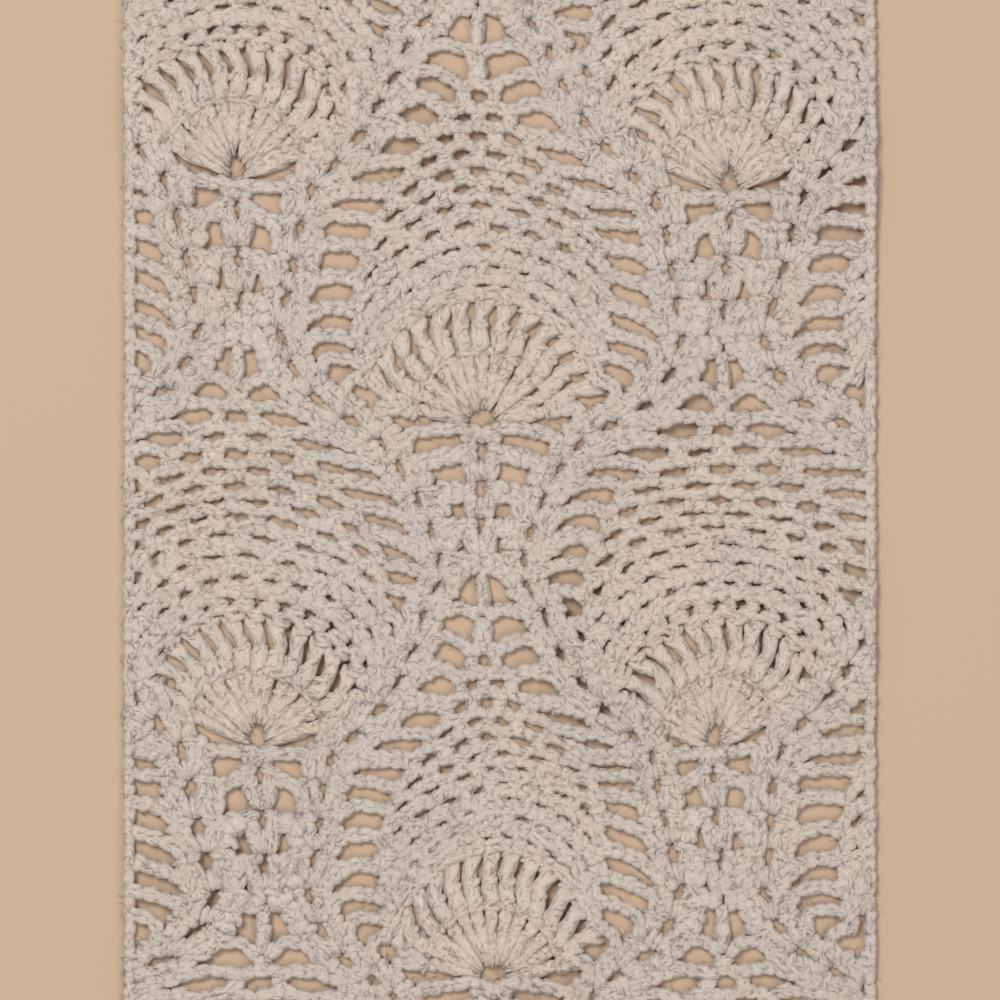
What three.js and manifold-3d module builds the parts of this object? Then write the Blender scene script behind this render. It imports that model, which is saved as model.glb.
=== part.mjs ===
// Crochet throw blanket: a cut length of pineapple lace, lying on a flat surface.
// Units are millimetres, +Z is up, and the origin is under the middle of the cloth.
import * as THREE from 'three';
import * as BufferGeometryUtils from 'three/addons/utils/BufferGeometryUtils.js';
import Module from 'manifold-3d';

// ---- driving dimensions ----
const CLOTH_WIDTH = 264;      // across the columns of pineapples
const CLOTH_LENGTH = 370;     // along the way it was worked
const YARN_THICK = 2.3;       // one strand of the worsted yarn
const CLOTH_THICK = 1.75 * YARN_THICK;  // a stitch is nearly two strands thick
const GRID_STEP = 12;         // size of the sheet's facets
const COLUMN_PITCH = 84;      // from one column of pineapples to the next
const REPEAT_LENGTH = 195;    // from one fan to the next fan in its column
const MIDDLE_COLUMN = -6.3;   // where the column nearest the middle stands
const MIDDLE_FAN = 28;        // fan centre of that column, up from the middle of the cloth
const ODD_FAN_DROP = 111.3;   // how far the fans of the odd columns lie under it
const LEAST_GAP_AREA = 44;    // smaller gaps than this, in square mm, stay closed here
const GAP_LEAN = -0.14;       // the long gaps lean a little down to the right, in radians
const LIFT_FREE = 1.0;        // a hump lower than this lies flat all the same

// Each row of a pineapple has one gap on each side of the column. Places are measured from
// the fan centre: across to either side, and up. Even and odd columns hang differently.
const GAP_COLUMNS = ['row', 'evenAcross', 'evenUp', 'oddAcross', 'oddUp', 'long', 'high'];
const GAP_ROWS = [
  ['fan', 25.9, -0.7, 18.7, 1.8, 19.0, 4.2],
  ['spokes', 42.0, 9.5, 30.8, 12.6, 14.0, 6.0],
  ['net 1', 50.8, 18.6, 39.2, 20.6, 12.3, 4.2],
  ['net 2', 55.0, 26.3, 44.8, 30.4, 12.3, 4.6],
  ['net 3', 53.9, 35.0, 48.3, 39.4, 11.9, 4.6],
  ['net 4', 53.9, 45.2, 49.3, 48.8, 12.6, 6.3],
  ['net 5', 51.1, 56.7, 49.3, 57.8, 11.6, 7.7],
  ['net 6', 47.3, 67.6, 47.6, 67.2, 13.0, 5.3],
  ['net 7', 42.0, 75.3, 45.5, 77.6, 13.3, 4.6],
  ['net 8', 35.0, 85.4, 41.5, 86.4, 13.3, 4.9],
  ['net 9', 27.3, 94.2, 33.6, 95.0, 11.9, 5.3],
  ['net 10', 21.0, 105.0, 27.3, 102.9, 11.2, 5.3],
  ['net 11', 15.4, 114.8, 18.2, 111.5, 10.9, 5.6],
  ['wing', 9.5, 123.2, 11.5, 120.4, 10.5, 6.3],
  ['tip', 6.7, 135.1, 6.7, 132.8, 8.4, 13.3],
  ['shell 1', 9.8, -42.4, 8.2, -47.0, 6.3, 4.6],
  ['shell 2', 10.0, -32.2, 8.2, -35.9, 6.7, 4.9],
  ['shell 3', 12.8, -18.2, 9.5, -21.0, 8.4, 6.3],
  ['shell 4', 15.5, -8.4, 11.6, -8.8, 12.6, 5.6],
];

// Hand-worked cloth isn't even: each row pulls the chart sideways and up around one place.
const PULL_REACH = 20;
const PULL_COLUMNS = ['across', 'up', 'pullAcross', 'pullUp'];
const PULLS = [
  [-6.3, 28.0, 0.0, 0.0],
  [-6.3, -167.0, 3.9, 0.7],
  [-90.3, 111.7, -3.5, 6.3],
  [77.7, 111.7, 3.5, 1.0],
  [-90.3, -83.3, 4.6, 1.0],
  [77.7, -83.3, -4.9, 0.7],
  [-6.3, 163.1, -1.6, 1.4],
  [-6.3, -31.9, -0.9, 2.1],
  [-90.3, 51.8, -1.7, -1.0],
  [77.7, 51.8, 1.0, -5.2],
  [-90.3, -143.2, 9.8, -3.5],
  [77.7, -143.2, 1.0, -3.0],
  [-76.7, 58.8, 0.4, -0.6],
  [64.0, 58.8, -1.6, -1.2],
  [-65.5, 107.8, 0.6, -1.6],
  [52.8, 107.8, 0.4, -3.5],
  [-74.2, -123.2, 9.8, 0.0],
  [-57.0, -78.0, 6.7, -5.2],
  [-31.2, -38.2, 6.7, -2.8],
  [47.6, -122.0, -3.2, 3.8],
  [-128.0, 55.0, -0.6, 4.2],
  [-108.0, 38.0, -3.0, 2.6],
  [-128.0, -125.0, -3.4, -1.4],
  [-128.0, -160.0, -6.5, -1.6],
  [124.0, 58.0, 4.6, 0.6],
  [108.0, 96.0, 4.2, -2.0],
  [124.0, -140.0, 2.2, 2.6],
  [27.0, -24.0, -5.6, -0.8],
  [29.0, -46.0, -3.4, -4.4],
  [47.0, -72.0, 4.6, -5.4],
  [-54.0, 150.0, -1.5, 4.5],
  [118.0, 150.0, 0.5, -2.0],
];

// The sheet lies flat but for a few soft humps.
const HUMP_COLUMNS = ['across', 'up', 'rise', 'reach'];
const HUMPS = [
  [29, -44, 5.0, 15],
  [38, -66, 4.5, 14],
  [-108, 140, 4.0, 24],
  [118, 116, 4.5, 22],
  [-58, -50, 3.8, 18],
  [-24, 132, 3.4, 18],
  [104, -40, 4.6, 22],
  [-104, -132, 4.0, 20],
  [14, -150, 3.4, 20],
  [60, 30, 3.2, 18],
];

const table = (columns, rows) => rows.map((row) => Object.fromEntries(
  columns.map((name, index) => [name, row[index]])));
const gapRows = table(GAP_COLUMNS, GAP_ROWS);
const pulls = table(PULL_COLUMNS, PULLS);
const humps = table(HUMP_COLUMNS, HUMPS);

// ---- the chart ----
function pulled(across, up) {
  let weight = 1e-6;
  let moveAcross = 0;
  let moveUp = 0;
  for (const pull of pulls) {
    const away = Math.hypot(across - pull.across, up - pull.up) / PULL_REACH;
    const share = Math.exp(-0.5 * away * away);
    weight += share;
    moveAcross += share * pull.pullAcross;
    moveUp += share * pull.pullUp;
  }
  return [across + moveAcross / weight, up + moveUp / weight];
}

function lift(across, up) {
  let rise = 0;
  for (const hump of humps) {
    const away = Math.hypot(across - hump.across, up - hump.up) / hump.reach;
    rise += hump.rise * Math.exp(-0.5 * away * away);
  }
  return Math.max(0, rise - LIFT_FREE);
}

// Fan centres of every pineapple whose rows reach the cloth.
function fanCentres() {
  const found = [];
  for (const column of [-2, -1, 0, 1, 2]) {
    const odd = column % 2 !== 0;
    const middle = MIDDLE_FAN - (odd ? ODD_FAN_DROP : 0);
    for (const repeat of [-2, -1, 0, 1]) {
      found.push({
        odd,
        across: MIDDLE_COLUMN + column * COLUMN_PITCH,
        up: middle + repeat * REPEAT_LENGTH,
      });
    }
  }
  return found;
}

// The open gaps that are large enough and lie wholly inside the cloth's edge.
function largeGaps() {
  const found = [];
  for (const fan of fanCentres()) {
    for (const row of gapRows.filter((one) => one.long * one.high > LEAST_GAP_AREA)) {
      for (const side of [-1, 1]) {
        const [across, up] = pulled(
          fan.across + side * (fan.odd ? row.oddAcross : row.evenAcross),
          fan.up + (fan.odd ? row.oddUp : row.evenUp));
        const reach = Math.max(row.long, row.high) / 2 + YARN_THICK;
        if (Math.abs(across) + reach < CLOTH_WIDTH / 2 && Math.abs(up) + reach < CLOTH_LENGTH / 2) {
          found.push({ ...row, across, up });
        }
      }
    }
  }
  return found;
}

// ---- solids ----
const wasm = await Module();
wasm.setup();

function solidOf(geometry) {
  const bare = geometry.clone();
  bare.deleteAttribute('normal');
  bare.deleteAttribute('uv');
  const merged = BufferGeometryUtils.mergeVertices(bare, 1e-4);
  return new wasm.Manifold(new wasm.Mesh({
    numProp: 3,
    vertProperties: new Float32Array(merged.attributes.position.array),
    triVerts: new Uint32Array(merged.index.array),
  }));
}

function geometryOf(solid) {
  const mesh = solid.getMesh();
  const geometry = new THREE.BufferGeometry();
  geometry.setAttribute('position', new THREE.BufferAttribute(mesh.vertProperties, 3));
  geometry.setIndex(new THREE.BufferAttribute(mesh.triVerts, 1));
  return geometry;
}

// A flat block whose faces follow the humps, with the underside flat wherever it touches.
function sheetGeometry() {
  const geometry = new THREE.BoxGeometry(CLOTH_WIDTH, CLOTH_LENGTH, CLOTH_THICK,
    Math.round(CLOTH_WIDTH / GRID_STEP), Math.round(CLOTH_LENGTH / GRID_STEP), 1);
  const place = geometry.attributes.position;
  for (let i = 0; i < place.count; i += 1) {
    const above = place.getZ(i) + CLOTH_THICK / 2;
    place.setZ(i, above + lift(place.getX(i), place.getY(i)));
  }
  return geometry;
}

// A six-sided plug through the sheet. Tall gaps stand up and the others lie along the row.
function gapGeometry(gap) {
  const tall = gap.high > gap.long;
  const half = Math.max(gap.long, gap.high) / 2;
  const slim = Math.min(gap.long, gap.high) / 2;
  const shoulder = half * 0.55;
  const outline = new THREE.Shape([
    new THREE.Vector2(half, 0),
    new THREE.Vector2(shoulder, slim),
    new THREE.Vector2(-shoulder, slim),
    new THREE.Vector2(-half, 0),
    new THREE.Vector2(-shoulder, -slim),
    new THREE.Vector2(shoulder, -slim),
  ]);
  const geometry = new THREE.ExtrudeGeometry(outline, { depth: 40, bevelEnabled: false });
  geometry.rotateZ(tall ? Math.PI / 2 : GAP_LEAN);
  geometry.translate(gap.across, gap.up, -10);
  return geometry;
}

function clothGeometry() {
  let cloth = solidOf(sheetGeometry());
  for (const gap of largeGaps()) {
    cloth = cloth.subtract(solidOf(gapGeometry(gap)));
  }
  return geometryOf(cloth);
}

// ---- the model ----
const yarn = new THREE.MeshStandardMaterial({ color: 0xcdc4b8, roughness: 0.95, metalness: 0 });
const blanket = new THREE.Group();
const cloth = new THREE.Mesh(clothGeometry(), yarn);
cloth.name = 'crochet_cloth';
blanket.add(cloth);

export default blanket;
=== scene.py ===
"""Crochet throw blanket: a cut length of pineapple lace, worked stitch by stitch from soft yarn.

Sizes in the tables are millimetres, across the columns of pineapples and up the way the rows
were worked. +Z is up, and the cloth lies flat on z = 0 but for a few soft humps.
"""

import logging
import math
from dataclasses import dataclass, field
from enum import Enum

import bmesh
import bpy
import numpy as np
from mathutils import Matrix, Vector

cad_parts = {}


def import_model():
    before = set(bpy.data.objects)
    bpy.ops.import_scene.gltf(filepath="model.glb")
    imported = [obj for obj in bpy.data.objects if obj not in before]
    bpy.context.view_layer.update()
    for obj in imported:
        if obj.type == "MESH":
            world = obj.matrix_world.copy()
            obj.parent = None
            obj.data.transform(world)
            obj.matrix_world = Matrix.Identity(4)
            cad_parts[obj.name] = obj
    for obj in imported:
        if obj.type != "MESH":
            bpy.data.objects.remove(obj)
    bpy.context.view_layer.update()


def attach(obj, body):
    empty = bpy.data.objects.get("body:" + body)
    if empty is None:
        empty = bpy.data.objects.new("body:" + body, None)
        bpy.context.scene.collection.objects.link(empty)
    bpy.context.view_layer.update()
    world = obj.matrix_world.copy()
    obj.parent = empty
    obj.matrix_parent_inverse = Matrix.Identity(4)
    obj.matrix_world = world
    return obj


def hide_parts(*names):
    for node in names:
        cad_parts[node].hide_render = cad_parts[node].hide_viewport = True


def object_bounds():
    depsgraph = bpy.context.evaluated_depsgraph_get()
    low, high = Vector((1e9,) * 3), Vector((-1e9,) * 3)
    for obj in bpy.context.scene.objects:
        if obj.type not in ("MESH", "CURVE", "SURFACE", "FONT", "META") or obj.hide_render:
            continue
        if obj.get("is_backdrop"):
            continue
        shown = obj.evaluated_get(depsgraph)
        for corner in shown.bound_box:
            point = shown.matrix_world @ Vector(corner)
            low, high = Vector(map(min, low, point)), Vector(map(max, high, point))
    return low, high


LOG = logging.getLogger("crochet_throw")
MM = 0.001
COLUMNS = (-2, -1, 0, 1, 2)
REPEATS = (-2, -1, 0, 1)

# The rows of one repeat, counted from its fan: spokes, net, wing, tip and the shells over it.
ROWS_PER_REPEAT = 19
ROWS_TO_ODD_FAN = 11
SPOKE_ROW = 1
NET_ROW = 2
WING_ROW = 13
TIP_ROW = 14
LAST_SHELL_ROW = 18
TIP_POST_LENGTH = 17.5


class Rings(Enum):
    """How many rings of points a length of yarn is given."""

    CORE = 4
    SHORT = 6
    MIDDLE = 8
    LONG = 10


class Parity(Enum):
    """Even columns hang a little wider than the odd ones between them."""

    EVEN = 0
    ODD = 1


@dataclass(frozen=True)
class Fan:
    """One pineapple, by its column and by its repeat up that column."""

    column: int
    repeat: int

    @property
    def parity(self) -> Parity:
        """Whether its column is an even or an odd one."""
        return Parity.ODD if self.column % 2 else Parity.EVEN


@dataclass(frozen=True)
class Post:
    """How the upright part of one kind of stitch is made.

    The widths are those of the whole post. Crossings and wraps are where its two strands cross and
    where its yarn-overs lie, as shares of its length. The fine foot is the yarn's thickness there
    as a share of the full one, the body is half the width of the yarn behind as a share of the
    whole width, and the waist is by what share it is narrower a little over halfway up.
    """

    foot_width: float
    head_width: float
    rings: Rings
    warmth: float
    crossings: tuple[float, ...] = ()
    wraps: tuple[float, ...] = ()
    fine_foot: float = 1.0
    body: float = 0.56
    waist: float = 0.0

    def width(self, share: np.ndarray) -> np.ndarray:
        """The whole width at some shares of the length, without the waist."""
        return self.foot_width + (self.head_width - self.foot_width) * share

    def waisted(self, share: np.ndarray) -> np.ndarray:
        """What the waist leaves of the width."""
        return 1.0 - self.waist * np.sin(math.pi * share**1.5)


@dataclass(frozen=True)
class FanShape:
    """What differs between the fans of even and odd columns.

    The hole at the fan's foot has half widths and a spread of the feet round it. The lowest
    stitch and spoke stand at angles in degrees, and the spokes sway to one side.
    """

    hole_wide: float
    hole_high: float
    hole_spread: float
    lowest_stitch: float
    lowest_spoke: float
    ring: float
    sway: float
    spoke: Post


@dataclass(frozen=True)
class GapRow:
    """The gap beside one row of a pineapple, measured from its fan centre, and its height."""

    row: str
    even_across: float
    even_up: float
    odd_across: float
    odd_up: float
    even_high: float
    odd_high: float


@dataclass(frozen=True)
class NetRow:
    """One row of loops: the height of its middle hole, hole spacing and the radius it bends to.

    The first rows of the even columns lie a little lower, by their drop. The loops get slimmer
    up to the middle rows, where the net is most open.
    """

    up: float
    even_drop: float
    even_pitch: float
    odd_pitch: float
    even_radius: float
    odd_radius: float
    width: float

    def pitch(self, parity: Parity) -> float:
        """The hole spacing in a column."""
        return self.odd_pitch if parity is Parity.ODD else self.even_pitch

    def radius(self, parity: Parity) -> float:
        """The radius that the row bends to in a column."""
        return self.odd_radius if parity is Parity.ODD else self.even_radius


@dataclass(frozen=True)
class Pull:
    """A place where the hand-worked rows stray from the chart, and by how much."""

    across: float
    up: float
    pull_across: float
    pull_up: float


@dataclass(frozen=True)
class Hump:
    """A soft hump of the cloth."""

    across: float
    up: float
    rise: float
    reach: float


GAP_ROWS = [
    GapRow("fan", 25.9, -0.7, 18.7, 1.8, 4.2, 9.5),
    GapRow("spokes", 42.0, 9.5, 30.8, 12.6, 7.0, 6.8),
    GapRow("net 1", 50.8, 18.6, 39.2, 20.6, 4.2, 4.2),
    GapRow("net 2", 55.0, 26.3, 44.8, 30.4, 4.6, 4.6),
    GapRow("net 3", 53.9, 35.0, 48.3, 39.4, 4.6, 4.6),
    GapRow("net 4", 53.9, 45.2, 49.3, 48.8, 6.3, 6.3),
    GapRow("net 5", 51.1, 56.7, 49.3, 57.8, 7.7, 7.7),
    GapRow("net 6", 47.3, 67.6, 47.6, 67.2, 5.3, 5.3),
    GapRow("net 7", 42.0, 75.3, 45.5, 77.6, 4.6, 4.6),
    GapRow("net 8", 35.0, 85.4, 41.5, 86.4, 4.9, 4.9),
    GapRow("net 9", 27.3, 94.2, 33.6, 95.0, 5.3, 5.3),
    GapRow("net 10", 21.0, 105.0, 27.3, 102.9, 5.3, 5.3),
    GapRow("net 11", 15.4, 114.8, 18.2, 111.5, 5.6, 5.6),
    GapRow("wing", 9.5, 123.2, 11.5, 120.4, 6.3, 6.3),
    GapRow("tip", 6.7, 135.1, 6.7, 132.8, 13.3, 13.3),
    GapRow("shell 1", 9.8, 152.6, 8.2, 148.0, 4.6, 4.6),
    GapRow("shell 2", 10.0, 162.8, 8.2, 159.1, 4.9, 4.9),
    GapRow("shell 3", 12.8, 176.8, 9.5, 174.0, 6.3, 6.3),
    GapRow("shell 4", 15.5, 187.1, 11.6, 185.0, 5.0, 9.0),
]

NET_ROWS = [
    NetRow(51.2, 2.2, 9.4, 9.1, 44.0, 44.0, 6.6),
    NetRow(58.2, 2.2, 10.5, 10.1, 48.0, 50.0, 6.6),
    NetRow(64.5, 1.2, 11.3, 11.2, 52.0, 56.0, 6.2),
    NetRow(70.5, 0.0, 12.0, 11.9, 56.0, 63.0, 5.5),
    NetRow(76.2, 0.0, 12.4, 12.7, 60.0, 71.0, 4.6),
    NetRow(81.3, 0.0, 12.5, 13.6, 66.0, 77.0, 4.3),
    NetRow(86.8, 0.0, 12.4, 14.2, 77.0, 89.0, 4.3),
    NetRow(92.3, 0.0, 11.7, 15.0, 84.0, 100.0, 4.4),
    NetRow(98.8, 0.0, 11.2, 15.4, 82.0, 96.0, 4.8),
    NetRow(105.2, 0.0, 10.7, 14.5, 80.0, 93.0, 5.0),
    NetRow(113.3, 0.0, 10.0, 10.0, 80.0, 93.0, 5.0),
]

# The space of each side shell, across from the even column beside it and up from its fan.
SIDE_SPACES = [
    (35.7, -7.3),
    (46.9, 0.7),
    (58.5, 8.4),
    (66.5, 19.6),
    (70.3, 30.8),
    (67.9, 43.8),
    (65.5, 55.3),
    (63.0, 67.9),
    (59.2, 79.8),
    (50.8, 88.9),
    (41.3, 98.7),
    (35.0, 107.8),
    (29.1, 117.2),
    (24.9, 128.8),
    (18.2, 138.3),
    (17.5, 147.4),
    (21.0, 157.9),
    (24.5, 168.4),
    (30.1, 179.2),
]

# The spaces up the middle of a column, from the tip's chain to the next fan centre.
CENTRE_SPACES = {
    Parity.EVEN: (144.2, 158.2, 171.2, 185.2, 195.0),
    Parity.ODD: (139.0, 153.5, 168.0, 183.5, 195.0),
}

# How far each head of a shell over a pineapple's tip lies to the side, and of the last one.
CENTRE_HEADS = {
    Parity.EVEN: (-6.0, -4.1, 4.1, 6.0),
    Parity.ODD: (-4.8, -3.2, 3.2, 4.8),
}
LAST_HEADS = {
    Parity.EVEN: (-6.6, -3.0, 3.0, 6.6),
    Parity.ODD: (-4.8, -2.1, 2.1, 4.8),
}

TIP_CLOSING = Post(7.4, 7.0, Rings.MIDDLE, 0.2, crossings=(0.52,))
TIP_POST = Post(5.4, 5.4, Rings.LONG, 0.2, crossings=(0.3, 0.7), wraps=(0.35, 0.68))
FAN_POST = Post(
    1.5, 6.0, Rings.LONG, 0.7, crossings=(0.72,), wraps=(0.78,), fine_foot=0.46, body=0.7
)
SPOKE_LOOK = {"crossings": (0.6,), "wraps": (0.08, 0.42, 0.96), "body": 0.54, "waist": 0.23}
EVEN_SPOKE = Post(6.1, 8.2, Rings.LONG, 0.45, **SPOKE_LOOK)
ODD_SPOKE = Post(5.8, 7.5, Rings.LONG, 0.45, **SPOKE_LOOK)
FAN_SHAPES = {
    Parity.EVEN: FanShape(4.4, 3.4, 1.27, 9.0, 21.0, 0.5, 1.0, EVEN_SPOKE),
    Parity.ODD: FanShape(2.3, 5.2, 1.7, 20.0, 28.0, 2.6, -1.0, ODD_SPOKE),
}

# How far apart the two arms of a chain are, and how thick, from its closed end to its open one.
CHAIN_SPREAD = np.array([0.1, 0.38, 0.78, 1.06, 1.1, 0.8])
CHAIN_THICKNESS = np.array([0.8, 0.96, 1.06, 1.06, 1.0, 0.85])

# A shell's middle heads reach past its space, its outer heads lie back, and its feet grip.
SHELL_FORWARD = 0.9
SHELL_BOW = -0.045
SHELL_GRIP = 1.9

PULL_REACH = 20.0
PULLS = [
    Pull(-6.3, 28.0, 0.0, 0.0),
    Pull(-6.3, -167.0, 3.9, 0.7),
    Pull(-90.3, 111.7, -3.5, 6.3),
    Pull(77.7, 111.7, 3.5, 1.0),
    Pull(-90.3, -83.3, 4.6, 1.0),
    Pull(77.7, -83.3, -4.9, 0.7),
    Pull(-6.3, 163.1, -1.6, 1.4),
    Pull(-6.3, -31.9, -0.9, 2.1),
    Pull(-90.3, 51.8, -1.7, -1.0),
    Pull(77.7, 51.8, 1.0, -5.2),
    Pull(-90.3, -143.2, 9.8, -3.5),
    Pull(77.7, -143.2, 1.0, -3.0),
    Pull(-76.7, 58.8, 0.4, -0.6),
    Pull(64.0, 58.8, -1.6, -1.2),
    Pull(-65.5, 107.8, 0.6, -1.6),
    Pull(52.8, 107.8, 0.4, -3.5),
    Pull(-74.2, -123.2, 9.8, 0.0),
    Pull(-57.0, -78.0, 6.7, -5.2),
    Pull(-31.2, -38.2, 6.7, -2.8),
    Pull(47.6, -122.0, -3.2, 3.8),
    Pull(-128.0, 55.0, -0.6, 4.2),
    Pull(-108.0, 38.0, -3.0, 2.6),
    Pull(-128.0, -125.0, -3.4, -1.4),
    Pull(-128.0, -160.0, -6.5, -1.6),
    Pull(124.0, 58.0, 4.6, 0.6),
    Pull(108.0, 96.0, 4.2, -2.0),
    Pull(124.0, -140.0, 2.2, 2.6),
    Pull(27.0, -24.0, -5.6, -0.8),
    Pull(29.0, -46.0, -3.4, -4.4),
    Pull(47.0, -72.0, 4.6, -5.4),
    Pull(-54.0, 150.0, -1.5, 4.5),
    Pull(118.0, 150.0, 0.5, -2.0),
]

HUMPS = [
    Hump(29, -44, 5.0, 15),
    Hump(38, -66, 4.5, 14),
    Hump(-108, 140, 4.0, 24),
    Hump(118, 116, 4.5, 22),
    Hump(-58, -50, 3.8, 18),
    Hump(-24, 132, 3.4, 18),
    Hump(104, -40, 4.6, 22),
    Hump(-104, -132, 4.0, 20),
    Hump(14, -150, 3.4, 20),
    Hump(60, 30, 3.2, 18),
]


def colour(value: str) -> tuple[float, float, float, float]:
    """Turn an sRGB hex colour into the linear one a shader works with.

    Args:
        value: six hex digits.

    Returns:
        Linear red, green, blue and an alpha of 1.
    """
    parts = [int(value[i : i + 2], 16) / 255 for i in (0, 2, 4)]
    linear = [p / 12.92 if p <= 0.04045 else ((p + 0.055) / 1.055) ** 2.4 for p in parts]
    return (linear[0], linear[1], linear[2], 1.0)


def point(across: float, up: float) -> np.ndarray:
    """A place on the chart."""
    return np.array([across, up], float)


def unit(vector: np.ndarray) -> np.ndarray:
    """The same direction with a length of one."""
    return vector / max(float(np.hypot(vector[0], vector[1])), 1e-6)


def sideways(vector: np.ndarray) -> np.ndarray:
    """The direction a quarter turn to the left."""
    return np.array([-vector[1], vector[0]])


def eased(share: np.ndarray) -> np.ndarray:
    """A smooth step from 0 to 1."""
    held = np.clip(share, 0.0, 1.0)
    return held * held * (3 - 2 * held)


def bowed(share: np.ndarray, sway: float) -> np.ndarray:
    """How far a post bows to the left on its way up and steps to the right at its head."""
    return sway * (1.1 * np.sin(math.pi * share) - 2.0 * eased(share * 2.0 - 1.0))


@dataclass(frozen=True)
class Strand:
    """One visible length of yarn: its centre line and its half width and half depth along it."""

    line: np.ndarray
    wide: np.ndarray
    deep: np.ndarray
    warmth: float


@dataclass(frozen=True)
class LaidStrands:
    """Many lengths of yarn with as many rings each, as they lie in the finished cloth."""

    lines: np.ndarray
    wide: np.ndarray
    deep: np.ndarray
    warmth: np.ndarray


@dataclass
class LaceChart:
    """Where the rows, shells and spaces of the lace lie before the cloth was laid down."""

    cloth_width: float = 264.0
    cloth_length: float = 370.0
    column_pitch: float = 84.0
    repeat: float = 195.0
    middle_column: float = -6.3
    middle_fan: float = 28.0
    odd_fan_drop: float = 111.3
    lift_free: float = 1.0

    def room(self, margin: float) -> np.ndarray:
        """How far from the middle of the cloth its sides are, less a margin."""
        return np.array([self.cloth_width, self.cloth_length]) / 2 - margin

    def fans(self) -> list[Fan]:
        """Every pineapple whose rows can reach the cloth."""
        return [Fan(column, repeat) for column in COLUMNS for repeat in REPEATS]

    def place(self, fan: Fan, side: int, spot: np.ndarray) -> np.ndarray:
        """Turn a spot measured from a fan centre into a place on the chart.

        Args:
            fan: which pineapple.
            side: 1 to the right of the column and -1 to its left.
            spot: across and up from the fan centre.

        Returns:
            Across and up on the chart.
        """
        drop = self.odd_fan_drop if fan.parity is Parity.ODD else 0.0
        centre = self.middle_fan - drop + fan.repeat * self.repeat
        across = self.middle_column + fan.column * self.column_pitch
        return point(across + side * spot[0], centre + spot[1])

    def side_space(self, column: int, side: int, row: int) -> np.ndarray:
        """The space of a side shell beside an even column.

        Args:
            column: the even column.
            side: 1 to the right of the column and -1 to its left.
            row: the shell's row, counted from the column's middle fan.

        Returns:
            Across and up on the chart.
        """
        across, up = SIDE_SPACES[row % ROWS_PER_REPEAT]
        spot = point(across, up + (row // ROWS_PER_REPEAT) * self.repeat)
        return self.place(Fan(column, 0), side, spot)

    def side_way(self, column: int, side: int, row: int) -> np.ndarray:
        """The direction in which a band of side shells runs at one row.

        Args:
            column: the even column.
            side: 1 to the right of the column and -1 to its left.
            row: the shell's row, counted from the column's middle fan.

        Returns:
            The direction, with a length of one.
        """
        return unit(
            self.side_space(column, side, row + 1) - self.side_space(column, side, row - 1)
        )

    def gap(self, fan: Fan, side: int, row: int) -> tuple[np.ndarray, float]:
        """The gap beside one row of a pineapple.

        Args:
            fan: which pineapple.
            side: 1 to the right of the column and -1 to its left.
            row: which row. Rows past the last one carry on into the next repeat.

        Returns:
            The middle of the gap, and how high it is.
        """
        found = GAP_ROWS[row % ROWS_PER_REPEAT]
        extra = (row // ROWS_PER_REPEAT) * self.repeat
        if fan.parity is Parity.ODD:
            spot, high = point(found.odd_across, found.odd_up + extra), found.odd_high
        else:
            spot, high = point(found.even_across, found.even_up + extra), found.even_high
        return self.place(fan, side, spot), high

    def pulled(self, places: np.ndarray) -> np.ndarray:
        """Move places on the chart to where the hand-worked stitches lie.

        Args:
            places: an array whose last axis is across and up.

        Returns:
            The moved places.
        """
        weight = np.full(places.shape[:-1], 1e-6)
        move = np.zeros_like(places)
        for pull in PULLS:
            away = (places[..., 0] - pull.across) ** 2 + (places[..., 1] - pull.up) ** 2
            share = np.exp(-0.5 * away / PULL_REACH**2)
            weight += share
            move[..., 0] += share * pull.pull_across
            move[..., 1] += share * pull.pull_up
        return places + move / weight[..., None]

    def lift(self, places: np.ndarray) -> np.ndarray:
        """How far the cloth's underside is off the floor.

        Args:
            places: places on the cloth, in an array of any shape.

        Returns:
            The height at each place.
        """
        rise = np.zeros(places.shape[:-1])
        for hump in HUMPS:
            away = (places[..., 0] - hump.across) ** 2 + (places[..., 1] - hump.up) ** 2
            rise += hump.rise * np.exp(-0.5 * away / hump.reach**2)
        return np.maximum(0.0, rise - self.lift_free)


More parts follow.
